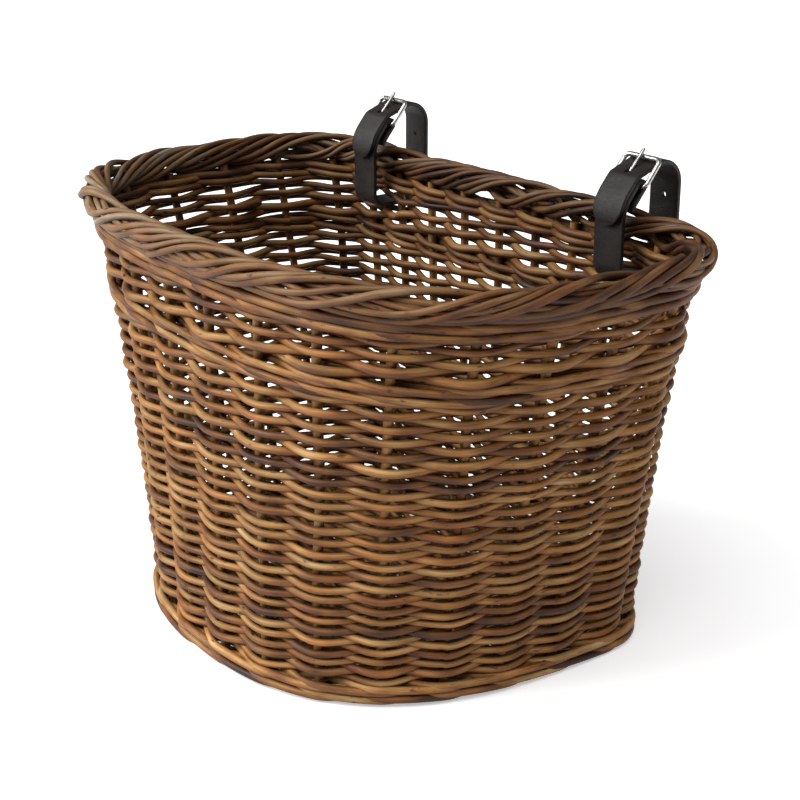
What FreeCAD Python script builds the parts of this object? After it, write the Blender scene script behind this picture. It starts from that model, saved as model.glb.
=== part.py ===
import FreeCAD, Part
import math
import os

# D-shaped wicker handlebar basket with two buckled leather straps.
# Millimetres, +Z up. The origin is on the ground under the middle of the basket.
# -Y is the bowed front, +Y the flat back that hangs on the handlebar, X runs along the bar.

Vector = FreeCAD.Vector

# ---- plan of the wall's outer face: half width, front bow depth, bow power,
# ---- straight side run, back corner radius, and where the bow's widest line lies in Y
RIM_PLAN = {"half": 184.0, "bow": 131.0, "power": 2.76, "side": 24.0, "corner": 61.0, "shift": 0.0}
BASE_PLAN = {"half": 134.5, "bow": 163.0, "power": 2.5, "side": 12.0, "corner": 36.0, "shift": 36.0}
PLAN_CENTRE_Y = 16.8          # moves both plans so that the bounding box is centred on the origin
PROFILE_HEIGHT = 226.0        # height at which the wall reaches the rim plan
FLARE = 0.32                  # how far the wall hangs inside a straight cone at mid height

# ---- wall
WALL = 12.4                   # stake plus a weaver on each side
WEAVER_GAP = 0.3              # clearance left between neighbouring pieces
STAKE_RADIUS = 2.5
STAKE_CLEARANCE = 0.15
BACK_STAKES = 11
BACK_STAKE_PITCH = 31.2       # along the rim
FRONT_STAKES = 16             # round the sides and the front
SIDE_STAKES = 3               # how many of those stand on each side
STAKE_FOOT = 3.0
STAKE_TOP = 213.5
STAKE_LEVELS = 5

# ---- bands, from the ground up
FOOT_TOP = 12.0
LOWER_TOP = 172.5
MID_WALE_TOP = 183.5
UPPER_TOP = 206.0
TOP_WALE_TOP = 213.7
FOOT_PROUD = 1.5
WALE_PROUD = 0.8
RIM_HALF_THICK = 8.5
RIM_HALF_TALL = 9.0
RIM_OFFSET = -3.2             # rim centre line, from the rim plan
RIM_CENTRE_Z = 223.0

# ---- base
HOOP_RADIUS = 4.0
BASE_CENTRE_Z = 8.5
BASE_THICK = 9.0
BASE_STICK_RADIUS = 3.0
BASE_STICKS = 7
BASE_STICK_PITCH = 32.0

# ---- straps
STRAP_X = 104.5
STRAP_WIDTH = 20.0
STRAP_THICK = 2.4
LAYER_GAP = 0.3
STRAP_SLOT_Z = 198.5          # height of the run through the wall
STRAP_SLOT_TALL = 6.6
STRAP_SLOT_SIDE = 1.0
STRAP_INNER_Y = PLAN_CENTRE_Y + 62.2   # centre line of the strap inside the basket
SHOULDER_RADIUS = 22.0
SHOULDER_Z = 229.1
SHOULDER_TURN = 40.0
LOWER_CORNER = 8.0
CHAPE_RUN = 7.0               # straight stretch from the shoulder to the buckle bar
CHAPE_LEAN = 90.0 - SHOULDER_TURN
BILLET_LEAN = 20.0            # slope of the billet between the pivot bar and the front bar
FLAP_LENGTH = 13.0
CREST_RADIUS = 12.3           # leaves 11.1 inside, for a 22.2 mm handlebar
TIP_RUN = 2.0
PUNCH_RADIUS = 1.6
PUNCH_HEIGHTS = (217.0, 237.5)
STITCHES = 4
STITCH_PITCH = 2.2
STITCH_START = 4.4            # first stitch, from the pivot bar
STITCH_RADIUS = 0.45
STITCH_END = 0.2              # how far each end stands out of the leather
STITCH_X = 7.5

# ---- buckle
WIRE_RADIUS = 1.4
BAR_CLEARANCE = 0.08
FRAME_REACH = 13.8            # from the pivot bar to the front bar, along the billet
FRAME_HALF = 11.9
FRAME_PIVOT_CORNER = 1.8
FRAME_FRONT_CORNER = 3.0
PRONG_RADIUS = 1.0
PRONG_EYE_RADIUS = 2.5
PRONG_EYE_HALF = 1.4
PRONG_RISE = 55.0
PRONG_FIRST_RUN = 7.2
PRONG_BEND_RADIUS = 3.0
PRONG_OVERHANG = 2.6
PRONG_REST_GAP = 0.1
PRONG_HOLE_HALF = 1.5
PRONG_HOLE_START = -0.1       # from the pivot bar, along the billet
PRONG_HOLE_END = 7.8
PRONG_SLOT_HALF = 1.8
PRONG_SLOT_REACH = 3.4        # how far the slot runs back into the chape
CUT_MARGIN = 1.0              # how far a cutting block stands out of what it cuts

SECTION_POINTS = 64
BOW_STEPS = 160
CORNER_STEPS = 24
TANGENT_STEP = 0.002


def half_plan(plan):
    """Points of the plan's right half, from the middle of the front to the middle of the back."""
    points = []
    for step in range(BOW_STEPS + 1):
        turn = math.pi / 2 * step / BOW_STEPS
        x = plan["half"] * math.sin(turn) ** (2 / plan["power"])
        y = -plan["bow"] * max(math.cos(turn), 0.0) ** (2 / plan["power"])
        points.append((x, y))
    for step in range(CORNER_STEPS + 1):
        turn = math.pi / 2 * step / CORNER_STEPS
        x = plan["half"] - plan["corner"] * (1 - math.cos(turn))
        y = plan["side"] + plan["corner"] * math.sin(turn)
        points.append((x, y))
    points.append((0.0, plan["side"] + plan["corner"]))
    shift = plan["shift"] + PLAN_CENTRE_Y
    return [(x, y + shift) for x, y in points]


def with_lengths(points):
    """Pairs each point with its distance along the line."""
    lengths = [0.0]
    for (x0, y0), (x1, y1) in zip(points, points[1:]):
        lengths.append(lengths[-1] + math.hypot(x1 - x0, y1 - y0))
    return list(zip(lengths, points))


RIM_LINE = with_lengths(half_plan(RIM_PLAN))
BASE_LINE = with_lengths(half_plan(BASE_PLAN))
HALF_RIM_LENGTH = RIM_LINE[-1][0]


def point_on(line, fraction):
    """Point at a fraction of the whole outline: 0 is the front, +0.5 and -0.5 the back."""
    fraction = (fraction + 0.5) % 1.0 - 0.5
    target = abs(fraction) * 2 * line[-1][0]
    side = 1.0 if fraction >= 0 else -1.0
    for (length0, start), (length1, end) in zip(line, line[1:]):
        if length1 >= target and length1 > length0:
            share = (target - length0) / (length1 - length0)
            x = start[0] + share * (end[0] - start[0])
            y = start[1] + share * (end[1] - start[1])
            return side * x, y
    return 0.0, line[-1][1][1]


def wall_line(fraction, z):
    """Point of the wall's outer face, with no offset."""
    height = z / PROFILE_HEIGHT
    share = height - FLARE * height * (1 - height)
    base = point_on(BASE_LINE, fraction)
    rim = point_on(RIM_LINE, fraction)
    return tuple(b + share * (r - b) for b, r in zip(base, rim))


def wall_point(fraction, z, offset):
    """Point at an offset from the wall's outer face, outwards positive."""
    x, y = wall_line(fraction, z)
    x0, y0 = wall_line(fraction - TANGENT_STEP, z)
    x1, y1 = wall_line(fraction + TANGENT_STEP, z)
    length = math.hypot(x1 - x0, y1 - y0)
    return Vector(x + offset * (y1 - y0) / length, y - offset * (x1 - x0) / length, z)


def section(z, offset):
    """Closed wire of the wall at one height."""
    curve = Part.BSplineCurve()
    points = [wall_point(k / SECTION_POINTS, z, offset) for k in range(SECTION_POINTS)]
    curve.interpolate(Points=points, PeriodicFlag=True)
    return Part.Wire([curve.toShape()])


def loft(heights, offset):
    return Part.makeLoft([section(z, offset) for z in heights], True, False)


def levels(bottom, top, steps):
    return [bottom + (top - bottom) * k / steps for k in range(steps + 1)]


def rod_rings(fraction, radius, heights):
    """Level circles round a stake's centre line, which runs up the middle of the wall."""
    upright = Vector(0, 0, 1)
    return [Part.Wire([circle(wall_point(fraction, z, -WALL / 2), upright, radius)]) for z in heights]


def closed_solid(faces):
    shell = Part.makeShell(faces)
    shell.sewShape()
    solid = Part.makeSolid(shell)
    if solid.Volume < 0:
        solid.reverse()
    return solid


def band(bottom, top, outer, inner, steps, fractions, channel_foot=None):
    """Wall band with a channel for every stake; the channels are blind if they have a foot."""
    heights = levels(bottom, top, steps)
    rod_heights = heights if channel_foot is None else levels(channel_foot, top, steps)
    walls = [[section(z, outer) for z in heights], [section(z, inner) for z in heights]]
    rods = [rod_rings(f, STAKE_RADIUS + STAKE_CLEARANCE, rod_heights) for f in fractions]
    faces = []
    for wires in walls + rods:
        faces += Part.makeLoft(wires, False, False).Faces
    feet = [rod[0] for rod in rods]
    low_wires = [wires[0] for wires in walls]
    if channel_foot is None:
        low_wires += feet
    else:
        faces += [Part.Face(foot) for foot in feet]
    faces.append(Part.Face(low_wires, "Part::FaceMakerBullseye"))
    faces.append(Part.Face([wires[-1] for wires in walls + rods], "Part::FaceMakerBullseye"))
    return closed_solid(faces)


def sweep(path, profile):
    return Part.Wire(path).makePipeShell([Part.Wire(profile)], True, False)


def circle(centre, direction, radius):
    return Part.Circle(centre, direction, radius).toShape()


def stake_fractions():
    """Where the stakes stand, as fractions of the outline."""
    whole = 2 * HALF_RIM_LENGTH
    last_back = (BACK_STAKES - 1) / 2 * BACK_STAKE_PITCH
    back = [0.5 + (k - (BACK_STAKES - 1) / 2) * BACK_STAKE_PITCH / whole for k in range(BACK_STAKES)]
    reach = 0.5 - last_back / whole
    front = [-reach + 2 * reach * (k + 1) / (FRONT_STAKES + 1) for k in range(FRONT_STAKES)]
    return back, front


def stake(fraction):
    """Round rod that follows the middle of the wall."""
    rings = rod_rings(fraction, STAKE_RADIUS, levels(STAKE_FOOT, STAKE_TOP, STAKE_LEVELS))
    return Part.makeLoft(rings, True, False)


def strap_box(side, low_y, high_y, low_z, high_z, half_width):
    corner = Vector(side * STRAP_X - half_width, low_y, low_z)
    return Part.makeBox(2 * half_width, high_y - low_y, high_z - low_z, corner)


# ---- strap layout in the Y-Z plane -------------------------------------------------------
def directions(lean):
    """Unit (Y, Z) pairs along and out from a strap that rises at an angle towards the handlebar."""
    turn = math.radians(lean)
    return (math.cos(turn), math.sin(turn)), (-math.sin(turn), math.cos(turn))


FOLD_RADIUS = WIRE_RADIUS + BAR_CLEARANCE + STRAP_THICK / 2
BILLET_RISE = FOLD_RADIUS + STRAP_THICK + LAYER_GAP
FRONT_BAR_RISE = BILLET_RISE + STRAP_THICK / 2 + LAYER_GAP + WIRE_RADIUS
CHAPE_ALONG, CHAPE_OUT = directions(CHAPE_LEAN)
ALONG, OUT = directions(BILLET_LEAN)
SHOULDER_CENTRE = (STRAP_INNER_Y + SHOULDER_RADIUS, SHOULDER_Z)
BAR = tuple(c + (SHOULDER_RADIUS - FOLD_RADIUS) * o + CHAPE_RUN * a
            for c, o, a in zip(SHOULDER_CENTRE, CHAPE_OUT, CHAPE_ALONG))


def at_buckle(along, out):
    """(Y, Z) of a point given along and out from the pivot bar, in line with the billet."""
    return tuple(b + along * a + out * o for b, a, o in zip(BAR, ALONG, OUT))


def at_chape(along, out):
    """The same, in line with the chape behind the pivot bar."""
    return tuple(b + along * a + out * o for b, a, o in zip(BAR, CHAPE_ALONG, CHAPE_OUT))


CREST_END = at_buckle(FRAME_REACH, BILLET_RISE)
CREST_CENTRE = tuple(p - CREST_RADIUS * o for p, o in zip(CREST_END, OUT))
STRAP_OUTER_Y = CREST_CENTRE[0] + CREST_RADIUS


def trace(start, heading, moves):
    """Edges in the Y-Z plane: a move is (length, 0) for a line or (radius, turn in degrees)."""
    edges = []
    y, z = start
    for size, turn in moves:
        angle = math.radians(heading)
        if turn == 0:
            end = (y + size * math.cos(angle), z + size * math.sin(angle))
            edges.append(Part.LineSegment(Vector(0, y, z), Vector(0, *end)).toShape())
        else:
            side = 1.0 if turn > 0 else -1.0
            centre = (y - side * size * math.sin(angle), z + side * size * math.cos(angle))
            stops = []
            for share in (0.5, 1.0):
                swing = angle + math.radians(turn * share)
                stops.append((centre[0] + side * size * math.sin(swing),
                              centre[1] - side * size * math.cos(swing)))
            edges.append(Part.Arc(Vector(0, y, z), Vector(0, *stops[0]), Vector(0, *stops[1])).toShape())
            end = stops[1]
            heading += turn
        y, z = end
    return edges, (y, z), heading


def ribbon_outline(start, heading, moves):
    """Closed wire of a strap seen from the side, half a thickness either way of its middle."""
    edges = []
    ends = []
    turn = math.radians(heading)
    for shift in (-STRAP_THICK / 2, STRAP_THICK / 2):
        first = (start[0] - shift * math.sin(turn), start[1] + shift * math.cos(turn))
        shifted = [(size - shift * ((bend > 0) - (bend < 0)), bend) for size, bend in moves]
        line, last, _ = trace(first, heading, shifted)
        edges += line
        ends.append((Vector(0, *first), Vector(0, *last)))
    for one, other in zip(*ends):
        edges.append(Part.LineSegment(one, other).toShape())
    return Part.Wire(Part.__sortEdges__(edges))


def strap(side):
    """One leather strip: flap, fold round the buckle bar, loop through the wall, and tip."""
    flap_radius = SHOULDER_RADIUS - 2 * FOLD_RADIUS
    flap_turn = math.degrees((FLAP_LENGTH - CHAPE_RUN) / flap_radius)
    start_angle = math.radians(180.0 - SHOULDER_TURN + flap_turn)
    start = (SHOULDER_CENTRE[0] + flap_radius * math.cos(start_angle),
             SHOULDER_CENTRE[1] + flap_radius * math.sin(start_angle))
    heading = CHAPE_LEAN + flap_turn
    lower_z = STRAP_SLOT_Z + LOWER_CORNER
    moves = [
        (flap_radius, -flap_turn),
        (CHAPE_RUN, 0),
        (FOLD_RADIUS, 180.0),
        (CHAPE_RUN, 0),
        (SHOULDER_RADIUS, SHOULDER_TURN),
        (SHOULDER_Z - lower_z, 0),
        (LOWER_CORNER, 90.0),
        (STRAP_OUTER_Y - STRAP_INNER_Y - 2 * LOWER_CORNER, 0),
        (LOWER_CORNER, 90.0),
        (CREST_CENTRE[1] - lower_z, 0),
        (CREST_RADIUS, 90.0 + BILLET_LEAN),
        (FRAME_REACH, 0),
        (BILLET_RISE, CHAPE_LEAN - BILLET_LEAN),
        (CHAPE_RUN, 0),
        (SHOULDER_RADIUS + STRAP_THICK + LAYER_GAP, SHOULDER_TURN),
        (TIP_RUN, 0),
    ]
    _, tip, _ = trace(start, heading, moves)
    ribbon = Part.Face(ribbon_outline(start, heading, moves)).extrude(Vector(STRAP_WIDTH, 0, 0))
    ribbon.translate(Vector(side * STRAP_X - STRAP_WIDTH / 2, 0, 0))
    return ribbon.cut(strap_cuts(side, tip))


def strap_cuts(side, tip):
    """Tip rounding, prong slot in the fold, prong hole and punched holes."""
    half = STRAP_WIDTH / 2
    skin = STRAP_THICK / 2 + LAYER_GAP / 2
    corner_block = strap_box(side, tip[0] - skin, tip[0] + skin, tip[1] - CUT_MARGIN, tip[1] + half,
                             half + CUT_MARGIN)
    centre = Vector(side * STRAP_X, tip[0] - 2 * skin, tip[1] + half)
    cuts = [corner_block.cut(Part.makeCylinder(half, 4 * skin, centre, Vector(0, 1, 0)))]
    low = BILLET_RISE - skin
    high = BILLET_RISE + skin
    fold_skin = FOLD_RADIUS + skin
    across = Vector(side * STRAP_X - PRONG_SLOT_HALF, *BAR)
    cuts.append(Part.makeCylinder(fold_skin, 2 * PRONG_SLOT_HALF, across, Vector(1, 0, 0)))
    slot = (-PRONG_SLOT_REACH, 0.0)
    hole = (PRONG_HOLE_START, PRONG_HOLE_END)
    cuts.append(slanted_block(side, at_chape, slot, (-fold_skin, fold_skin), PRONG_SLOT_HALF))
    cuts.append(slanted_block(side, at_buckle, hole, (low, high), PRONG_HOLE_HALF))
    for height in PUNCH_HEIGHTS:
        start = Vector(side * STRAP_X, STRAP_OUTER_Y - skin, height)
        cuts.append(Part.makeCylinder(PUNCH_RADIUS, 2 * skin, start, Vector(0, 1, 0)))
    return cuts


def slanted_block(side, place, along, out, half_width):
    """Box in line with the billet or the chape."""
    corners = [(along[0], out[0]), (along[1], out[0]), (along[1], out[1]), (along[0], out[1])]
    points = [Vector(side * STRAP_X - half_width, *place(*corner)) for corner in corners]
    face = Part.Face(Part.makePolygon(points + points[:1]))
    return face.extrude(Vector(2 * half_width, 0, 0))


def stitching(side):
    """Short threads through the flap and the layer above it, in two rows."""
    threads = []
    half = FOLD_RADIUS + STRAP_THICK / 2 + STITCH_END
    middle = SHOULDER_RADIUS - FOLD_RADIUS
    for row in (-1, 1):
        for k in range(STITCHES):
            run = STITCH_START + k * STITCH_PITCH
            past = math.degrees(max(run - CHAPE_RUN, 0.0) / middle)
            angle = math.radians(180.0 - SHOULDER_TURN + past)
            out = Vector(0, math.cos(angle), math.sin(angle))
            centre = Vector(0, *SHOULDER_CENTRE) + out * middle
            centre += Vector(0, *CHAPE_ALONG) * max(CHAPE_RUN - run, 0.0)
            centre.x = side * STRAP_X + row * STITCH_X
            threads.append(Part.makeCylinder(STITCH_RADIUS, 2 * half, centre - out * half, out))
    return Part.makeCompound(threads)


def buckle_frame(side):
    """Closed loop of round wire; its lower bar is the pivot bar."""
    reach = Vector(0, FRAME_REACH * ALONG[0] + FRONT_BAR_RISE * OUT[0],
                   FRAME_REACH * ALONG[1] + FRONT_BAR_RISE * OUT[1])
    length = reach.Length
    reach.normalize()
    origin = Vector(side * STRAP_X, *BAR)
    across = Vector(1, 0, 0)

    def place(x, up):
        return origin + across * x + reach * up

    def corner(x_sign, up, up_sign, radius):
        centre_x = x_sign * (FRAME_HALF - radius)
        centre_up = up - up_sign * radius
        bend = radius * math.sqrt(0.5)
        return Part.Arc(place(centre_x, up), place(centre_x + x_sign * bend, centre_up + up_sign * bend),
                        place(x_sign * FRAME_HALF, centre_up)).toShape()

    low = FRAME_PIVOT_CORNER
    high = FRAME_FRONT_CORNER
    edges = [
        Part.LineSegment(place(low - FRAME_HALF, 0), place(FRAME_HALF - low, 0)).toShape(),
        corner(1, 0, -1, low),
        Part.LineSegment(place(FRAME_HALF, low), place(FRAME_HALF, length - high)).toShape(),
        corner(1, length, 1, high),
        Part.LineSegment(place(FRAME_HALF - high, length), place(high - FRAME_HALF, length)).toShape(),
        corner(-1, length, 1, high),
        Part.LineSegment(place(-FRAME_HALF, length - high), place(-FRAME_HALF, low)).toShape(),
        corner(-1, 0, -1, low),
    ]
    path = Part.Wire(Part.__sortEdges__(edges))
    start = path.OrderedVertexes[0].Point
    tangent = path.OrderedEdges[0].tangentAt(path.OrderedEdges[0].FirstParameter)
    return path.makePipeShell([Part.Wire([circle(start, tangent, WIRE_RADIUS)])], True, False)


def buckle_prong(side):
    """Eye round the pivot bar and a bent pin that rests on the front bar."""
    centre = Vector(side * STRAP_X - PRONG_EYE_HALF, *BAR)
    across = Vector(1, 0, 0)
    eye = Part.makeCylinder(PRONG_EYE_RADIUS, 2 * PRONG_EYE_HALF, centre, across)
    hole = Part.makeCylinder(WIRE_RADIUS + BAR_CLEARANCE, 2 * PRONG_EYE_HALF, centre, across)
    rise = math.radians(PRONG_RISE)
    root = (WIRE_RADIUS + PRONG_EYE_RADIUS) / 2
    start = at_buckle(root * math.cos(rise), root * math.sin(rise))
    knee = (PRONG_FIRST_RUN * math.cos(rise), PRONG_FIRST_RUN * math.sin(rise))
    to_bar = (FRAME_REACH - knee[0], FRONT_BAR_RISE - knee[1])
    rest = WIRE_RADIUS + PRONG_RADIUS + PRONG_REST_GAP
    slope = math.atan2(to_bar[1], to_bar[0]) + math.asin(rest / math.hypot(*to_bar))
    bend = PRONG_RISE - math.degrees(slope)
    setback = PRONG_BEND_RADIUS * math.tan(math.radians(bend / 2))
    second = math.sqrt(math.hypot(*to_bar) ** 2 - rest ** 2)
    moves = [
        (PRONG_FIRST_RUN - root - setback, 0),
        (PRONG_BEND_RADIUS, -bend),
        (second - setback + PRONG_OVERHANG, 0),
    ]
    edges, tip, _ = trace(start, BILLET_LEAN + PRONG_RISE, moves)
    direction = Vector(0, *directions(BILLET_LEAN + PRONG_RISE)[0])
    pin = sweep(edges, [circle(Vector(0, *start), direction, PRONG_RADIUS)])
    pin = pin.fuse(Part.makeSphere(PRONG_RADIUS, Vector(0, *tip)))
    pin.translate(Vector(side * STRAP_X, 0, 0))
    return eye.fuse(pin).cut(hole).removeSplitter()


def base_parts():
    """Hoop, sticks and woven floor."""
    low = BASE_CENTRE_Z - BASE_THICK / 2
    high = BASE_CENTRE_Z + BASE_THICK / 2
    hoop_offset = -(WALL + 2 * WEAVER_GAP + HOOP_RADIUS + WEAVER_GAP)
    floor_offset = hoop_offset - HOOP_RADIUS - WEAVER_GAP
    path = section(BASE_CENTRE_Z, hoop_offset)
    edge = path.Edges[0]
    start = edge.valueAt(edge.FirstParameter)
    tangent = edge.tangentAt(edge.FirstParameter)
    hoop = path.makePipeShell([Part.Wire([circle(start, tangent, HOOP_RADIUS)])], True, False)
    plate = loft([low, high], floor_offset)
    sticks = []
    channels = []
    for k in range(BASE_STICKS):
        x = (k - (BASE_STICKS - 1) / 2) * BASE_STICK_PITCH
        foot = Vector(x, -RIM_PLAN["half"], BASE_CENTRE_Z)
        run = 2 * RIM_PLAN["half"]
        rod = Part.makeCylinder(BASE_STICK_RADIUS, run, foot, Vector(0, 1, 0))
        sticks.append(rod.common(plate))
        channels.append(Part.makeCylinder(BASE_STICK_RADIUS + STAKE_CLEARANCE, run, foot, Vector(0, 1, 0)))
    return hoop, Part.makeCompound(sticks), plate.cut(channels)


def rim_border():
    """Rolled border: an upright oval carried round the top of the wall."""
    path = section(RIM_CENTRE_Z, RIM_OFFSET)
    edge = path.Edges[0]
    start = edge.valueAt(edge.FirstParameter)
    tangent = edge.tangentAt(edge.FirstParameter)
    oval = Part.Ellipse(start + Vector(0, 0, RIM_HALF_TALL),
                        start + Vector(0, 0, 1).cross(tangent) * RIM_HALF_THICK, start)
    return path.makePipeShell([Part.Wire([oval.toShape()])], True, False)


def build():
    back, front = stake_fractions()
    every = back + front
    groups = {
        "back_stakes": back,
        "left_stakes": front[:SIDE_STAKES],
        "front_stakes": front[SIDE_STAKES:-SIDE_STAKES],
        "right_stakes": front[-SIDE_STAKES:],
    }
    parts = {name: Part.makeCompound([stake(f) for f in places]) for name, places in groups.items()}
    gap = WEAVER_GAP / 2
    bands = {
        "foot_wale": band(0.0, FOOT_TOP, FOOT_PROUD, -WALL - 2 * WEAVER_GAP, 2, every, STAKE_FOOT - gap),
        "lower_weave": band(FOOT_TOP + gap, LOWER_TOP - gap, 0.0, -WALL, 4, every),
        "mid_wale": band(LOWER_TOP + gap, MID_WALE_TOP - gap, WALE_PROUD, -WALL - WALE_PROUD, 2, every),
        "upper_weave": band(MID_WALE_TOP + gap, UPPER_TOP - gap, 0.0, -WALL, 2, every),
        "top_wale": band(UPPER_TOP + gap, TOP_WALE_TOP, WALE_PROUD, -WALL, 2, every),
        "rim_border": rim_border(),
    }
    slots = [strap_box(side, 0.0, 2 * STRAP_OUTER_Y, STRAP_SLOT_Z - STRAP_SLOT_TALL / 2,
                       STRAP_SLOT_Z + STRAP_SLOT_TALL / 2, STRAP_WIDTH / 2 + STRAP_SLOT_SIDE)
             for side in (-1, 1)]
    parts.update(bands)
    parts["upper_weave"] = bands["upper_weave"].cut(slots)
    parts["base_hoop"], parts["base_sticks"], parts["base_weave"] = base_parts()
    for side, label in ((-1, "left"), (1, "right")):
        parts[label + "_strap"] = strap(side)
        parts[label + "_strap_stitching"] = stitching(side)
        parts[label + "_buckle_frame"] = buckle_frame(side)
        parts[label + "_buckle_prong"] = buckle_prong(side)
    return parts


os.makedirs("parts", exist_ok=True)
for node, shape in build().items():
    solids = shape.Solids
    valid = all(solid.isValid() and solid.isClosed() for solid in solids)
    box = shape.BoundBox
    print(node, len(solids), "solids", "valid" if valid else "INVALID",
          "volume %.0f mm3" % sum(solid.Volume for solid in solids),
          "box %.1f %.1f %.1f" % (box.XMin, box.YMin, box.ZMin),
          "to %.1f %.1f %.1f" % (box.XMax, box.YMax, box.ZMax))
    shape.exportStep("parts/" + node + ".step")
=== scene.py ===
import math

import bmesh
import bpy
import numpy as np
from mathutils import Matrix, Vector


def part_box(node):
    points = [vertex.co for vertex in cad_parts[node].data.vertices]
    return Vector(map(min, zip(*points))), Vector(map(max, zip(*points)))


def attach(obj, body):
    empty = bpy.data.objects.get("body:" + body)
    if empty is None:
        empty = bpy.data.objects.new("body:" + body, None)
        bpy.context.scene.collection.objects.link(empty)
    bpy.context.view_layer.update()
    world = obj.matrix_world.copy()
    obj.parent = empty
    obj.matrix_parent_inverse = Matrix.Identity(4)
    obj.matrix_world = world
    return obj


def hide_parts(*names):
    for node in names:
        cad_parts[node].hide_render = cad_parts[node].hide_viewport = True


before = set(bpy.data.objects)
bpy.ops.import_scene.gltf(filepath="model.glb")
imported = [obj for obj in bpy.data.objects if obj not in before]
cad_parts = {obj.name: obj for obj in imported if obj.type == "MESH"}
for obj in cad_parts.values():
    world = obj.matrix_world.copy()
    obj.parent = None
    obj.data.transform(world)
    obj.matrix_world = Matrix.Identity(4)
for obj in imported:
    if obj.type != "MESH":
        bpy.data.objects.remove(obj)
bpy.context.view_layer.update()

# Wicker handlebar basket with two buckled leather straps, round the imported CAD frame. Metres, +Z up.
# Cane is placed by u, which counts stakes round the wall, by its height z, and by its depth in the wall.
# The space between two stakes is a bay.

# ---- plan of the wall's outer face, as in the CAD model
RIM_PLAN = {"half": 0.184, "bow": 0.131, "power": 2.76, "side": 0.024, "corner": 0.061, "shift": 0.0168}
BASE_PLAN = {"half": 0.1345, "bow": 0.163, "power": 2.5, "side": 0.012, "corner": 0.036, "shift": 0.0528}
PROFILE_HEIGHT = 0.226
FLARE = 0.32
BOW_STEPS = 400
CORNER_STEPS = 60
TANGENT_STEP = 0.002

# ---- stakes
STAKES = 27
BACK_STAKES = 11
FRONT_STAKES = 16              # round the sides and the front
SIDE_STAKES = 3                # how many of those stand on each side
BACK_PITCH = 0.0312
STAKE_RADIUS = 0.0025
STAKE_DEPTH = 0.0062           # stake centre line, in from the wall's outer face

# ---- weavers
LOWER_ROWS = 48
UPPER_ROWS = 6
FOOT_TIGHTER = 0.13            # how much closer the lower weave's rows lie at the foot
LOWER_RADIUS = 0.00182
UPPER_RADIUS = 0.00200
WEAVER_SPREAD = 0.13           # how much the canes differ in thickness
THINNEST = 0.78
THICKEST = 1.2
SQUEEZE = 0.94                 # the canes' distance from a stake, 1 when they just touch it
WEAVER_SAG = 0.0007            # how far a cane is beaten down at the stakes
SAMPLES = 12                   # rings per bay
CANE_SIDES = 10
SPAN_STAKES = (34, 70)         # a cane passes this many stakes before the next one is laid in
SEAM = 17                      # the stake at which each row climbs to the next
CLIMB = 3                      # bays that the climb takes
LEAD = 1                       # bays woven before the first full row
ROWS_A_PIECE = 8
SETTLE_BAYS = 2                # bays from the seam to where the rows are stacked by their canes' thickness
CANE_OVERLAP = 0.42            # bays that a cane runs on past each joint
TUCK_END = 0.6                 # bays from a joint to where the cane is back in line
TUCK_DEPTH = 2.6               # how deep a cane's first end is tucked in, in cane radii
LAST_TUCK = 0.4                # how much of that its last end is tucked in

# ---- unevenness: (distance between random values, in bays or metres, and their spread)
THICKNESS_DRIFT = (9.0, 0.03)
HEIGHT_JITTER = (1.0, 0.00022)
HEIGHT_DRIFT = (4.0, 0.0003)
DEPTH_JITTER = (1.0, 0.05)
SAG_JITTER = (1.0, 0.35)
WALE_JITTER = (1.5, 0.0003)
WALE_DRIFT = (8.0, 0.06)
STAKE_SWAY = (0.06, 0.0006)
BORDER_TURN_JITTER = (1.1, 0.11)
BORDER_SPAN_JITTER = (1.1, 0.00035)
HOOP_DRIFT = (5.0, 0.02)
STICK_SWAY = (0.05, 0.0004)
BASE_JITTER = (0.03, 0.0003)

# ---- wales: (cane radius, how far the canes stand proud of the weaving)
FOOT_WALE = (0.0021, 0.0012)
MID_WALE = (0.0019, 0.0003)
TOP_WALE = (0.0021, 0.0006)
WALE_CANES = 3
WALE_ROUNDS = 2
WALE_CROSSING = 0.0012         # how far the canes swing up and down past their round of the wale
FOOT_START = 0.0014            # start of the foot wale, so that its lowest cane just clears the ground
TOP_WALE_RISE = 0.0018         # how far the top wale runs up under the border

# ---- the gap in the weaving round each strap's run through the wall
GAP_HALF = 0.012               # half its width, and then the distance over which it closes
GAP_FADE = 0.008
GAP_REACH = 0.016              # how far above and below the strap the canes are moved
BACK_WALL_Y = 0.06             # only canes behind this are moved

# ---- straps, in the Y-Z plane, as in the CAD model
STRAP_X = 0.1045
STRAP_WIDTH = 0.020
STRAP_THICK = 0.0024
STRAP_SLOT_Z = 0.1985
STRAP_INNER_Y = 0.079
SHOULDER_RADIUS = 0.022
SHOULDER_Z = 0.2291
SHOULDER_TURN = 40.0
LOWER_CORNER = 0.008
CHAPE_RUN = 0.007
CHAPE_LEAN = 90.0 - SHOULDER_TURN
BILLET_LEAN = 20.0
FLAP_LENGTH = 0.013
LAYER_GAP = 0.0003
CREST_RADIUS = 0.0123
FRAME_REACH = 0.0138
WIRE_RADIUS = 0.0014
BAR_CLEARANCE = 0.00008
TIP_RUN = 0.002

GRAIN_LENGTH = 50.0            # each rod's grain starts at a random place up to this far along
CREASE_ANGLE = 50.0            # edges sharper than this many degrees are shaded sharp
random = np.random.default_rng(20)


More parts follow.
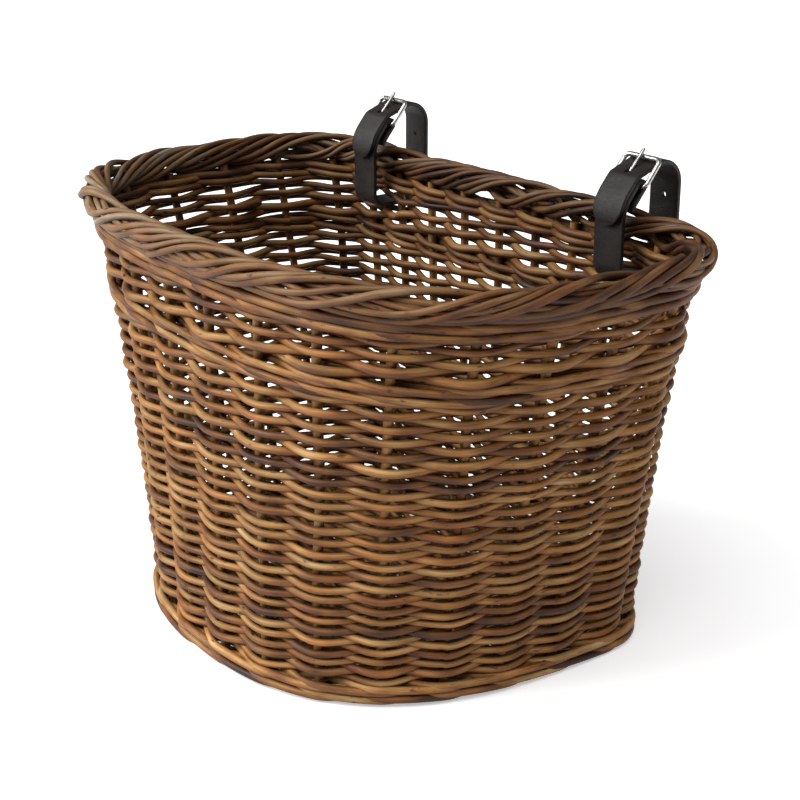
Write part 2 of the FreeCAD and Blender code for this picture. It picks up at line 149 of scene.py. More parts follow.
# ---------------------------------------------------------------- the wall's shape
def outline(plan):
    """The closed plan line, as fractions of its length from the middle of the front, x and y."""
    turn = np.linspace(0.0, math.pi / 2, BOW_STEPS + 1)
    bow_x = plan["half"] * np.sin(turn) ** (2 / plan["power"])
    bow_y = -plan["bow"] * np.maximum(np.cos(turn), 0.0) ** (2 / plan["power"])
    turn = np.linspace(0.0, math.pi / 2, CORNER_STEPS + 1)
    corner_x = plan["half"] - plan["corner"] * (1 - np.cos(turn))
    corner_y = plan["side"] + plan["corner"] * np.sin(turn)
    x = np.concatenate([bow_x, corner_x, [0.0]])
    y = np.concatenate([bow_y, corner_y, [plan["side"] + plan["corner"]]]) + plan["shift"]
    x = np.concatenate([x, -x[-2::-1]])
    y = np.concatenate([y, y[-2::-1]])
    length = np.concatenate([[0.0], np.cumsum(np.hypot(np.diff(x), np.diff(y)))])
    return {"at": length / length[-1], "x": x, "y": y, "length": length[-1]}


RIM_OUTLINE = outline(RIM_PLAN)
BASE_OUTLINE = outline(BASE_PLAN)


def stake_places():
    """Fractions of the outline at which the stakes stand, from u = 0 to u = STAKES."""
    last_back = (BACK_STAKES - 1) / 2 * BACK_PITCH / RIM_OUTLINE["length"]
    reach = 0.5 - last_back
    front = [-reach + 2 * reach * (k + 1) / (FRONT_STAKES + 1) for k in range(FRONT_STAKES)]
    back = [reach + 2 * last_back * k / (BACK_STAKES - 1) for k in range(BACK_STAKES)]
    return np.array(front + back + [front[0] + 1.0])


STAKE_PLACES = stake_places()


def fraction_at(u):
    turns = np.floor(u / STAKES)
    return np.interp(u - turns * STAKES, np.arange(STAKES + 1), STAKE_PLACES)


def plan_point(line, fraction):
    fraction = np.mod(fraction, 1.0)
    return np.interp(fraction, line["at"], line["x"]), np.interp(fraction, line["at"], line["y"])


def wall_line(fraction, z):
    height = z / PROFILE_HEIGHT
    share = height - FLARE * height * (1 - height)
    base_x, base_y = plan_point(BASE_OUTLINE, fraction)
    rim_x, rim_y = plan_point(RIM_OUTLINE, fraction)
    return base_x + share * (rim_x - base_x), base_y + share * (rim_y - base_y)


def wall(u, z, depth):
    """Points at a depth inside the wall's outer face; u, z and depth may be arrays."""
    u, z, depth = np.broadcast_arrays(np.asarray(u, float), np.asarray(z, float), np.asarray(depth, float))
    fraction = fraction_at(u)
    x, y = wall_line(fraction, z)
    x0, y0 = wall_line(fraction - TANGENT_STEP, z)
    x1, y1 = wall_line(fraction + TANGENT_STEP, z)
    size = np.hypot(x1 - x0, y1 - y0)
    return np.stack([x - depth * (y1 - y0) / size, y + depth * (x1 - x0) / size, z], axis=1)


def smooth(values):
    return values * values * (3 - 2 * values)


def wander(u, period, size):
    """Smooth random curve along u: a random height every period, and a smooth curve between."""
    low = math.floor(u.min() / period)
    count = int(math.ceil(u.max() / period)) - low + 2
    heights = random.normal(0.0, size, count)
    place = u / period - low
    k = np.floor(place).astype(int)
    part = smooth(place - k)
    return heights[k] * (1 - part) + heights[k + 1] * part


# ---------------------------------------------------------------- rods
class Bundle:
    """Round rods gathered into one mesh, with what the cane material reads at each point."""

    def __init__(self):
        self.points = []
        self.faces = []
        self.grain = []
        self.tone = []
        self.count = 0

    def rod(self, line, radius, tone, upright=(0.0, 0.0, 1.0), sides=CANE_SIDES):
        """Adds a round rod along a line of points; upright is a direction never along the rod."""
        line = np.asarray(line, float)
        rings = len(line)
        radius = np.broadcast_to(np.asarray(radius, float), (rings,))
        tangent = np.gradient(line, axis=0)
        tangent /= np.linalg.norm(tangent, axis=1)[:, None]
        side = np.cross(tangent, np.broadcast_to(np.asarray(upright, float), (rings, 3)))
        side /= np.linalg.norm(side, axis=1)[:, None]
        lift = np.cross(side, tangent)
        turn = np.linspace(0.0, 2 * math.pi, sides, endpoint=False)
        across = radius[:, None] * np.cos(turn)
        above = radius[:, None] * np.sin(turn)
        points = (line[:, None, :] + across[:, :, None] * side[:, None, :] +
                  above[:, :, None] * lift[:, None, :])
        along = np.concatenate([[0.0], np.cumsum(np.linalg.norm(np.diff(line, axis=0), axis=1))])
        along += random.uniform(0.0, GRAIN_LENGTH)
        grain = np.stack([np.broadcast_to(along[:, None], across.shape), across, above], axis=2)
        ring = np.arange(rings - 1)[:, None] * sides + self.count
        here = np.arange(sides)[None, :]
        after = (here + 1) % sides
        quads = np.stack([ring + here, ring + after, ring + sides + after, ring + sides + here], axis=2)
        self.faces += quads.reshape(-1, 4).tolist()
        self.faces.append((np.arange(sides)[::-1] + self.count).tolist())
        self.faces.append((np.arange(sides) + self.count + (rings - 1) * sides).tolist())
        self.points.append(points.reshape(-1, 3))
        self.grain.append(grain.reshape(-1, 3))
        self.tone.append(np.full(rings * sides, tone))
        self.count += rings * sides

    def piece(self, name, material, node, body="basket"):
        """The rods so far, as one visible piece."""
        mesh = bpy.data.meshes.new(name)
        mesh.from_pydata(np.concatenate(self.points).tolist(), [], self.faces)
        grain = np.concatenate(self.grain).astype(np.float32).ravel()
        tone = np.concatenate(self.tone).astype(np.float32)
        mesh.attributes.new("grain", "FLOAT_VECTOR", "POINT")
        mesh.attributes["grain"].data.foreach_set("vector", grain)
        mesh.attributes.new("tone", "FLOAT", "POINT")
        mesh.attributes["tone"].data.foreach_set("value", tone)
        return finish_piece(mesh, name, material, node, body)


def finish_piece(mesh, name, material, node, body):
    """An object for the mesh, with its look, the body it rides on, and the CAD node it replaces."""
    mesh.polygons.foreach_set("use_smooth", [True] * len(mesh.polygons))
    mesh.set_sharp_from_angle(angle=math.radians(CREASE_ANGLE))
    mesh.materials.append(material["look"])
    piece = bpy.data.objects.new(name, mesh)
    bpy.context.scene.collection.objects.link(piece)
    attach(piece, body)
    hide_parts(node)
    return piece


# ---------------------------------------------------------------- materials
# colour ramps: (place on the ramp from 0 to 1, colour)
CANE_TONES = (
    (0.00, (0.022, 0.009, 0.004)),
    (0.18, (0.075, 0.026, 0.009)),
    (0.38, (0.195, 0.078, 0.020)),
    (0.55, (0.320, 0.152, 0.043)),
    (0.72, (0.430, 0.242, 0.086)),
    (0.88, (0.520, 0.340, 0.158)),
    (1.00, (0.520, 0.385, 0.235)),
)
# the rim is weathered: its lighter canes are grey-brown instead of tan
BORDER_TONES = (
    (0.00, (0.022, 0.009, 0.004)),
    (0.18, (0.068, 0.026, 0.010)),
    (0.38, (0.150, 0.062, 0.019)),
    (0.55, (0.222, 0.110, 0.038)),
    (0.72, (0.250, 0.150, 0.074)),
    (0.88, (0.295, 0.212, 0.134)),
    (1.00, (0.380, 0.330, 0.268)),
)
STREAKS = ((0.30, (0.55, 0.50, 0.45)), (0.62, (1.15, 1.12, 1.05)))
HUES = ((0.36, (1.10, 0.93, 0.82)), (0.50, (1.0, 1.0, 1.0)), (0.66, (0.92, 1.00, 1.10)))
SCAR_EDGE = ((0.66, (0.0, 0.0, 0.0)), (0.76, (1.0, 1.0, 1.0)))
LEATHER_TONES = (
    (0.35, (0.005, 0.0035, 0.003)),
    (0.60, (0.011, 0.008, 0.006)),
    (0.78, (0.026, 0.017, 0.011)),
)
NICKEL_TONES = ((0.3, (0.30, 0.29, 0.28)), (0.7, (0.55, 0.54, 0.52)))
THREAD_TONES = ((0.2, (0.16, 0.14, 0.12)), (0.8, (0.34, 0.31, 0.27)))

# noise features per metre: along, across and up a cane
PATCH_GRAIN = (34.0, 90.0, 90.0)
FIBRE_GRAIN = (60.0, 1500.0, 1500.0)
HUE_GRAIN = (14.0, 60.0, 60.0)
SCAR_GRAIN = (160.0, 420.0, 420.0)
# and in the other materials
WEAR_GRAIN = 45.0
PORE_GRAIN = 1500.0
CREASE_GRAIN = 260.0
HAZE_GRAIN = 400.0
STRAND_GRAIN = 900.0

TONE_SPREAD = (0.48, 0.13)     # mean and spread of the canes' tones
TONE_LIMITS = (0.20, 0.62)
PATCH_CONTRAST = 1.3           # how much a cane's tone changes from patch to patch
STREAK_STRENGTH = 0.75
SCAR_COLOUR = (0.040, 0.018, 0.010)
STAKE_SHADE = 0.60             # the stakes are darker than the weavers
INNER_PAINTED_SHADE = 0.60             # painted shade: each weaver's inner side is darkened to this share, in place of the shade inside the basket
UNDERSIDE_PAINTED_SHADE = (0.26, 0.17, 0.12)    # painted shade: a weaver's underside is darkened towards this brown, in place of the shade between rows
PLAIN = (1.0, 1.0, 1.0)
INNER_PAINTED_SHADE_SPAN = (-0.0010, 0.0012)      # metres across a cane, from inner to outer side, over which that painted shade fades
UNDERSIDE_PAINTED_SHADE_SPAN = (-0.0015, 0.0015)      # metres up a cane, from underside to top, over which that painted shade fades
CREASE_HEIGHT = 1.4            # height of the leather's creases against its pores

# roughness from the smoothest places to the roughest
CANE_ROUGHNESS = (0.38, 0.66)
LEATHER_ROUGHNESS = (0.36, 0.58)
NICKEL_ROUGHNESS = (0.12, 0.32)
THREAD_ROUGHNESS = 0.7
CANE_SPECULAR = 0.26
LEATHER_SPECULAR = 0.3
# bump strength and distance
CANE_BUMP = (0.45, 0.00035)
LEATHER_BUMP = (0.5, 0.0004)
THREAD_BUMP = (0.4, 0.0002)

# the Mix node's sockets when it mixes colours
MIX_FIRST = 6
MIX_SECOND = 7
MIX_RESULT = 2


def new_material(name):
    material = bpy.data.materials.new(name)
    material.use_nodes = True
    nodes = material.node_tree.nodes
    return material, nodes, material.node_tree.links, nodes["Principled BSDF"]


def ramp(nodes, links, value, stops):
    node = nodes.new("ShaderNodeValToRGB")
    for element, (position, colour) in zip(node.color_ramp.elements, (stops[0], stops[-1])):
        element.position = position
        element.color = (*colour, 1.0)
    for position, colour in stops[1:-1]:
        node.color_ramp.elements.new(position).color = (*colour, 1.0)
    links.new(value, node.inputs["Fac"])
    return node.outputs["Color"]


def noise(nodes, links, vector, scale, detail, stretch=(1.0, 1.0, 1.0)):
    mapping = nodes.new("ShaderNodeMapping")
    mapping.inputs["Scale"].default_value = stretch
    links.new(vector, mapping.inputs["Vector"])
    node = nodes.new("ShaderNodeTexNoise")
    node.inputs["Scale"].default_value = scale
    node.inputs["Detail"].default_value = detail
    links.new(mapping.outputs["Vector"], node.inputs["Vector"])
    return node.outputs["Fac"]


def mix(nodes, links, blend, factor, first, second):
    """Colour mix; the factor may be a number, and first and second may be plain colours."""
    node = nodes.new("ShaderNodeMix")
    node.data_type = "RGBA"
    node.blend_type = blend
    if isinstance(factor, float):
        node.inputs["Factor"].default_value = factor
    else:
        links.new(factor, node.inputs["Factor"])
    for value, socket in ((first, node.inputs[MIX_FIRST]), (second, node.inputs[MIX_SECOND])):
        if isinstance(value, tuple):
            socket.default_value = (*value, 1.0)
        else:
            links.new(value, socket)
    return node.outputs[MIX_RESULT]


def calculate(nodes, links, operation, *values):
    """Math node on numbers and sockets."""
    node = nodes.new("ShaderNodeMath")
    node.operation = operation
    for value, socket in zip(values, node.inputs):
        if isinstance(value, float):
            socket.default_value = value
        else:
            links.new(value, socket)
    return node.outputs["Value"]


def map_range(nodes, links, value, to_range, from_range=(0.0, 1.0)):
    node = nodes.new("ShaderNodeMapRange")
    node.inputs["From Min"].default_value, node.inputs["From Max"].default_value = from_range
    node.inputs["To Min"].default_value, node.inputs["To Max"].default_value = to_range
    links.new(value, node.inputs["Value"])
    return node.outputs["Result"]


def add_bump(nodes, links, shader, height, strength, distance):
    node = nodes.new("ShaderNodeBump")
    node.inputs["Strength"].default_value = strength
    node.inputs["Distance"].default_value = distance
    links.new(height, node.inputs["Height"])
    links.new(node.outputs["Normal"], shader.inputs["Normal"])


def cane_material(name, slot, tones, shade=1.0, inner_painted_shade=INNER_PAINTED_SHADE, underside_painted_shade=UNDERSIDE_PAINTED_SHADE):
    """Cane with the bark on: each rod has its own tone, with patches, fibres and dark scars along it."""
    material, nodes, links, shader = new_material(name)
    grain = nodes.new("ShaderNodeAttribute")
    grain.attribute_name = "grain"
    tone = nodes.new("ShaderNodeAttribute")
    tone.attribute_name = "tone"
    place = grain.outputs["Vector"]
    patches = noise(nodes, links, place, 1.0, 4.0, PATCH_GRAIN)
    fibres = noise(nodes, links, place, 1.0, 4.0, FIBRE_GRAIN)
    drift = noise(nodes, links, place, 1.0, 2.0, HUE_GRAIN)
    scars = noise(nodes, links, place, 1.0, 2.0, SCAR_GRAIN)
    lightness = calculate(nodes, links, "SUBTRACT", tone.outputs["Fac"], PATCH_CONTRAST / 2)
    lightness = calculate(nodes, links, "MULTIPLY_ADD", patches, PATCH_CONTRAST, lightness)
    shaded = [(stop, tuple(shade * channel for channel in colour)) for stop, colour in tones]
    colour = ramp(nodes, links, lightness, shaded)
    streaks = ramp(nodes, links, fibres, STREAKS)
    colour = mix(nodes, links, "MULTIPLY", STREAK_STRENGTH, colour, streaks)
    hues = ramp(nodes, links, drift, HUES)
    colour = mix(nodes, links, "MULTIPLY", 1.0, colour, hues)
    scarred = ramp(nodes, links, scars, SCAR_EDGE)
    colour = mix(nodes, links, "MIX", scarred, colour, SCAR_COLOUR)
    parts = nodes.new("ShaderNodeSeparateXYZ")
    links.new(place, parts.inputs["Vector"])
    # painted shade: the cane's inner side is darkened, in place of the shade inside the basket
    outward = map_range(nodes, links, parts.outputs["Y"], (inner_painted_shade, 1.0), INNER_PAINTED_SHADE_SPAN)
    colour = mix(nodes, links, "MULTIPLY", 1.0, colour, outward)
    # painted shade: the cane's underside is darkened towards a brown, in place of the shade between rows
    upward = map_range(nodes, links, parts.outputs["Z"], (0.0, 1.0), UNDERSIDE_PAINTED_SHADE_SPAN)
    underside_shade_colour = mix(nodes, links, "MIX", upward, underside_painted_shade, PLAIN)
    colour = mix(nodes, links, "MULTIPLY", 1.0, colour, underside_shade_colour)
    links.new(colour, shader.inputs["Base Color"])
    links.new(map_range(nodes, links, patches, CANE_ROUGHNESS), shader.inputs["Roughness"])
    shader.inputs["Specular IOR Level"].default_value = CANE_SPECULAR
    add_bump(nodes, links, shader, fibres, *CANE_BUMP)
    return {"look": material, "slot": slot}


def leather_material():
    """Dark grained leather, a little browner and rougher where it is worn."""
    material, nodes, links, shader = new_material("dark_leather")
    place = nodes.new("ShaderNodeTexCoord").outputs["Object"]
    wear = noise(nodes, links, place, WEAR_GRAIN, 4.0)
    links.new(ramp(nodes, links, wear, LEATHER_TONES), shader.inputs["Base Color"])
    links.new(map_range(nodes, links, wear, LEATHER_ROUGHNESS), shader.inputs["Roughness"])
    shader.inputs["Specular IOR Level"].default_value = LEATHER_SPECULAR
    pores = nodes.new("ShaderNodeTexVoronoi")
    pores.feature = "DISTANCE_TO_EDGE"
    pores.inputs["Scale"].default_value = PORE_GRAIN
    links.new(place, pores.inputs["Vector"])
    creases = noise(nodes, links, place, CREASE_GRAIN, 5.0)
    height = calculate(nodes, links, "MULTIPLY_ADD", creases, CREASE_HEIGHT, pores.outputs["Distance"])
    add_bump(nodes, links, shader, height, *LEATHER_BUMP)
    return {"look": material, "slot": "leather"}


def nickel_material():
    """Nickel plate with a faint haze."""
    material, nodes, links, shader = new_material("nickel_plate")
    place = nodes.new("ShaderNodeTexCoord").outputs["Object"]
    shader.inputs["Metallic"].default_value = 1.0
    haze = noise(nodes, links, place, HAZE_GRAIN, 4.0)
    links.new(ramp(nodes, links, haze, NICKEL_TONES), shader.inputs["Base Color"])
    links.new(map_range(nodes, links, haze, NICKEL_ROUGHNESS), shader.inputs["Roughness"])
    return {"look": material, "slot": "nickel"}


def thread_material():
    """Waxed thread with its strands showing."""
    material, nodes, links, shader = new_material("waxed_thread")
    place = nodes.new("ShaderNodeTexCoord").outputs["Object"]
    strands = nodes.new("ShaderNodeTexWave")
    strands.inputs["Scale"].default_value = STRAND_GRAIN
    links.new(place, strands.inputs["Vector"])
    links.new(ramp(nodes, links, strands.outputs["Fac"], THREAD_TONES), shader.inputs["Base Color"])
    shader.inputs["Roughness"].default_value = THREAD_ROUGHNESS
    add_bump(nodes, links, shader, strands.outputs["Fac"], *THREAD_BUMP)
    return {"look": material, "slot": "thread"}


wicker = cane_material("wicker_cane", "wicker", CANE_TONES)
stake_cane = cane_material("stake_cane", "cane", CANE_TONES, STAKE_SHADE, 1.0, PLAIN)
border_cane = cane_material("border_cane", "border", BORDER_TONES)
leather = leather_material()
nickel = nickel_material()
thread = thread_material()


def random_tone():
    """A cane's tone; the darkest and palest are left out."""
    return float(np.clip(random.normal(*TONE_SPREAD), *TONE_LIMITS))


# ---------------------------------------------------------------- weaving
def part_at_straps(u, z):
    """Spreads the canes above and below each strap's run through the back wall."""
    x, y = wall_line(fraction_at(u), z)
    beside = np.clip((np.abs(np.abs(x) - STRAP_X) - GAP_HALF) / GAP_FADE, 0.0, 1.0)
    beside = np.where(y > BACK_WALL_Y, 1 - smooth(beside), 0.0)
    least = THICKEST * UPPER_RADIUS + STRAP_THICK / 2
    away = z - STRAP_SLOT_Z
    spread = np.sign(away) * (least + np.abs(away) * (GAP_REACH - least) / GAP_REACH)
    moved = np.where(np.abs(away) < GAP_REACH, STRAP_SLOT_Z + spread, z)
    return z + beside * (moved - z)


def row_heights(radius, middling, rows, tighten, low_z, high_z):
    """Height of the long run of canes: level rows, stacked by thickness, that climb at the seam."""
    turns = STAKES * SAMPLES
    tall = high_z - low_z - 2 * middling
    level = tall / (rows - 1)
    index = np.arange(len(radius)) - LEAD * SAMPLES
    row = index // turns
    column = index % turns
    bay = column / SAMPLES
    climb = smooth(np.clip((bay - STAKES + CLIMB) / CLIMB, 0.0, 1.0))
    grid = np.full((rows, turns), middling)
    inside = (row >= 0) & (row < rows)
    grid[row[inside], column[inside]] = radius[inside]
    stack = np.concatenate([np.zeros((1, turns)), np.cumsum(grid[1:] + grid[:-1], axis=0)])
    stack *= level * (rows - 1) / stack[-1]
    uneven = np.zeros(len(radius))
    uneven[inside] = stack[row[inside], column[inside]] - level * row[inside]
    settle = smooth(np.clip(bay / SETTLE_BAYS, 0.0, 1.0))
    settle *= smooth(np.clip((STAKES - CLIMB - bay) / SETTLE_BAYS, 0.0, 1.0))
    share = (row + climb) / (rows - 1)
    return low_z + middling + tall * share * (1 - tighten + tighten * share) + uneven * settle


def weave(name, node, low_z, high_z, rows, tighten, first_phase, middling):
    """One long run of canes, in front of one stake and behind the next, closer together at the foot."""
    count = LEAD + rows * STAKES - CLIMB
    inside_first = (LEAD + SEAM + first_phase + 1) % 2
    ends = [0]
    while ends[-1] < count:
        span = int(random.integers(*SPAN_STAKES))
        ends.append(ends[-1] + span + (ends[-1] + span + inside_first) % 2)
    ends[-1] = count
    run = np.arange(count * SAMPLES + 1) / SAMPLES
    radius = np.zeros(len(run))
    for start, end in zip(ends, ends[1:]):
        spread = np.clip(random.normal(1.0, WEAVER_SPREAD), THINNEST, THICKEST)
        radius[start * SAMPLES:end * SAMPLES + 1] = middling * spread
    radius *= 1 + wander(run, *THICKNESS_DRIFT)
    z = row_heights(radius, middling, rows, tighten, low_z, high_z)
    z += wander(run, *HEIGHT_JITTER) + wander(run, *HEIGHT_DRIFT)
    u = run - LEAD + SEAM
    phase = np.cos(math.pi * (u + first_phase))
    swing = SQUEEZE * (STAKE_RADIUS + radius)
    depth = STAKE_DEPTH - swing * phase * (1 + wander(run, *DEPTH_JITTER))
    z -= WEAVER_SAG * (phase ** 2 - 0.5) * (1 + wander(run, *SAG_JITTER))
    z = part_at_straps(u, z)
    bundle = Bundle()
    made = 0
    reach = int(CANE_OVERLAP * SAMPLES)
    for start, end in zip(ends, ends[1:]):
        low = max(start * SAMPLES - reach, 0)
        high = min(end * SAMPLES + reach, len(run) - 1)
        piece = slice(low, high + 1)
        near_start = (start + TUCK_END - run[piece]).clip(0.0, 1.0)
        near_end = (run[piece] - end + TUCK_END).clip(0.0, 1.0)
        tuck = (smooth(near_start) + LAST_TUCK * smooth(near_end)) * TUCK_DEPTH * middling
        bundle.rod(wall(u[piece], z[piece], depth[piece] + tuck), radius[piece], random_tone())
        if end >= (made + 1) * ROWS_A_PIECE * STAKES or end == count:
            made += 1
            bundle.piece("%s_%d" % (name, made), wicker, node)
            bundle = Bundle()


def wale(name, node, low_z, high_z, radius, proud):
    """Three canes that each pass in front of two stakes and behind one, twisting round each other."""
    bundle = Bundle()
    height = (high_z - low_z) / WALE_ROUNDS
    depth_in = STAKE_DEPTH + STAKE_RADIUS + radius
    depth_out = STAKE_DEPTH - STAKE_RADIUS - radius - proud
    u = np.arange(0, STAKES * SAMPLES + 1) / SAMPLES
    for turn in range(WALE_ROUNDS):
        for k in range(WALE_CANES):
            place = np.mod(u - k - turn, WALE_CANES)
            outside = smooth(np.clip(np.minimum(place, WALE_CANES - place), 0.0, 1.0))
            depth = depth_in + (depth_out - depth_in) * outside
            # the cane climbs behind the stake at place 0, and comes down in front of the other two
            descent = np.where(place > 2.5, place - 2.5, (2.5 - place) / 2)
            stroke = np.where(place < 0.5, place + 0.5, descent)
            rise = (stroke - 0.5) * (height - 2 * radius + WALE_CROSSING)
            z = low_z + height * (turn + 0.5) + rise + wander(u, *WALE_JITTER)
            rod_radius = radius * (1 + wander(u, *WALE_DRIFT))
            z = part_at_straps(u, z)
            bundle.rod(wall(u, z, depth), rod_radius, random_tone())
    bundle.piece(name, wicker, node)


STAKE_TOP = 0.004              # how far the rods run up into the border, past the CAD stakes
STAKE_RINGS = 40
STAKE_SIDES = 12
STAKE_SPREAD = (0.92, 1.06)    # thinnest and thickest stake, against STAKE_RADIUS
PROBE_Z = 0.1                  # height at which a stake's outward direction is taken
PROBE_DEPTH = 0.01


def stakes():
    """Upright rods in the middle of the wall, up into the border."""
    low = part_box("back_stakes")[0].z
    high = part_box("back_stakes")[1].z + STAKE_TOP
    first_right = FRONT_STAKES - SIDE_STAKES
    groups = (("back", range(FRONT_STAKES, STAKES)), ("left", range(SIDE_STAKES)),
              ("front", range(SIDE_STAKES, first_right)), ("right", range(first_right, FRONT_STAKES)))
    for label, numbers in groups:
        bundle = Bundle()
        for k in numbers:
            z = np.linspace(low, high, STAKE_RINGS)
            sway = wander(z, *STAKE_SWAY) / BACK_PITCH
            line = wall(k + sway, z, STAKE_DEPTH)
            out = wall([k], PROBE_Z, 0.0)[0] - wall([k], PROBE_Z, PROBE_DEPTH)[0]
            radius = STAKE_RADIUS * random.uniform(*STAKE_SPREAD)
            bundle.rod(line, radius, random_tone(), upright=out / np.linalg.norm(out), sides=STAKE_SIDES)
        bundle.piece(label + "_stake_rods", stake_cane, label + "_stakes")


# ---------------------------------------------------------------- border
# place along the rim in stake pitches, angle round the border from outwards, and distance from its middle
BORDER_COURSE = (
    (0.0, 262.0, 0.0060), (0.30, 190.0, 0.0020), (0.75, 80.0, 0.0030), (1.3, 34.0, 0.0046),
    (1.9, -14.0, 0.0056), (2.45, -40.0, 0.0064), (2.95, -24.0, 0.0071), (3.45, 18.0, 0.0076),
    (3.95, 66.0, 0.0077), (4.45, 112.0, 0.0075), (4.95, 156.0, 0.0073), (5.4, 200.0, 0.0071),
    (5.8, 236.0, 0.0062), (6.1, 262.0, 0.0046),
)
# the canes that a stake brings to the border, side by side, and their radius
BORDER_GROUPS = (((-0.5, 0.5), 0.0019), ((-0.5, 0.5), 0.0018), ((-1.0, 0.0, 1.0), 0.0016))
BORDER_REACH = 6.0             # stakes that a border cane passes
WEATHERING = 0.38              # how much greyer the left end of the border is
WEATHERED_REACH = 2.2          # stakes over which the grey fades
WEATHERED_FROM = 3.8           # stake number of the greyest place
BORDER_DEPTH = 0.0032          # the border's middle, in from the wall's outer face
BORDER_FLAT = 0.94             # the border's width against its height
BORDER_PIECES = 3
BORDER_RINGS = 120
BORDER_TURN_SPREAD = 0.13      # radians by which the canes of one stake lie before or behind the course
BORDER_PLACE_SPREAD = 0.14     # and stake pitches along the rim
BORDER_SPAN_SPREAD = 0.00035   # and metres out from the border's middle
BORDER_TONE_SPREAD = 0.08
BORDER_TONE_LIMITS = (0.25, 1.15)
BORDER_THICKNESS = (0.86, 1.12)     # thinnest and thickest cane, against its group's radius
BORDER_APART = (1.0, 1.25)     # distance between a group's canes, in cane widths
LAST_CUT = 0.12                # stake pitches by which a cane's end may be cut short
GROUP_OPEN = 0.8               # stake pitches over which a group's canes spread
SHIFT_OPEN = 1.5               # stake pitches over which a group's shift along the rim grows
LEAST_SPAN = 0.0035


def course(values, place):
    """Smooth curve through the border's course."""
    places = np.array([c[0] for c in BORDER_COURSE])
    slopes = np.gradient(values, places)
    k = np.clip(np.searchsorted(places, place, side="right") - 1, 0, len(places) - 2)
    step = places[k + 1] - places[k]
    t = (place - places[k]) / step
    return ((2 * t ** 3 - 3 * t ** 2 + 1) * values[k] + (t ** 3 - 2 * t ** 2 + t) * step * slopes[k] +
            (3 * t ** 2 - 2 * t ** 3) * values[k + 1] + (t ** 3 - t ** 2) * step * slopes[k + 1])


def border():
    """Each stake's canes bend along the rim, pass down the outside, and roll up over it to the inside."""
    low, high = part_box("rim_border")
    centre_z = (low.z + high.z) / 2
    angles = np.radians([c[1] for c in BORDER_COURSE])
    spans = np.array([c[2] for c in BORDER_COURSE])
    per_piece = STAKES // BORDER_PIECES
    for part in range(BORDER_PIECES):
        bundle = Bundle()
        for k in range(part * per_piece, (part + 1) * per_piece):
            away = (k + BORDER_REACH / 2 - WEATHERED_FROM + STAKES / 2) % STAKES - STAKES / 2
            grey = WEATHERING * math.exp(-(away / WEATHERED_REACH) ** 2)
            tone = random_tone() + grey
            jitter = random.normal(0.0, BORDER_TURN_SPREAD)
            late = random.normal(0.0, BORDER_PLACE_SPREAD)
            proud = random.normal(0.0, BORDER_SPAN_SPREAD)
            apart = random.uniform(*BORDER_APART)
            members, thickness = BORDER_GROUPS[int(random.integers(len(BORDER_GROUPS)))]
            for member in members:
                place = np.linspace(0.0, BORDER_COURSE[-1][0] - random.uniform(0.0, LAST_CUT), BORDER_RINGS)
                angle = course(angles, place) + wander(place, *BORDER_TURN_JITTER) + jitter
                span = course(spans, place) + wander(place, *BORDER_SPAN_JITTER) + proud
                beside = 2 * member * apart * thickness / np.maximum(span, LEAST_SPAN)
                angle = angle + beside * smooth(np.clip(place / GROUP_OPEN, 0.0, 1.0))
                radius = thickness * random.uniform(*BORDER_THICKNESS)
                out = span * np.cos(angle) * BORDER_FLAT
                up = span * np.sin(angle)
                shift = late * smooth(np.clip(place / SHIFT_OPEN, 0.0, 1.0))
                line = wall(k + place + shift, centre_z + up, BORDER_DEPTH - out)
                own_tone = tone + random.normal(0.0, BORDER_TONE_SPREAD)
                bundle.rod(line, radius, float(np.clip(own_tone, *BORDER_TONE_LIMITS)))
        bundle.piece("rolled_border_%d" % (part + 1), border_cane, "rim_border")


# ---------------------------------------------------------------- base
BASE_STICKS = 7
BASE_STICK_PITCH = 0.032
BASE_STICK_RADIUS = 0.003
BASE_WEAVER = 0.0018
HOOP_RADIUS = 0.004
HOOP_TONE = 0.4
HOOP_SIDES = 14
BASE_SAMPLES = 400             # points round the hoop, and from front to back
STICK_RINGS = 60
STICK_SIDES = 12
OUTLINE_SAMPLES = 800
OUTLINE_Z = 0.0085             # height at which the floor's outline is taken
BASE_INSET = 0.0169            # hoop's centre line, in from the wall's outer face
BASE_ROW_PITCH = 2.05          # in weaver radii
ROW_CLEAR = 0.002              # how far a row ends before the hoop's centre line
SHORTEST_ROW = 0.02            # half length below which no row is woven
ROW_STEP = 0.0015
ROW_RINGS = 8                  # rings of every row, besides one for each step
BASE_SPREAD = (0.92, 1.08)


def base_half_width(y, inset):
    """Half the floor's width at y, at a distance in from the wall's outer face."""
    line = wall(np.linspace(0.0, STAKES, OUTLINE_SAMPLES), OUTLINE_Z, inset)
    right = line[line[:, 0] > 0]
    right = right[np.argsort(right[:, 1])]
    return np.interp(y, right[:, 1], right[:, 0], left=0.0, right=0.0)


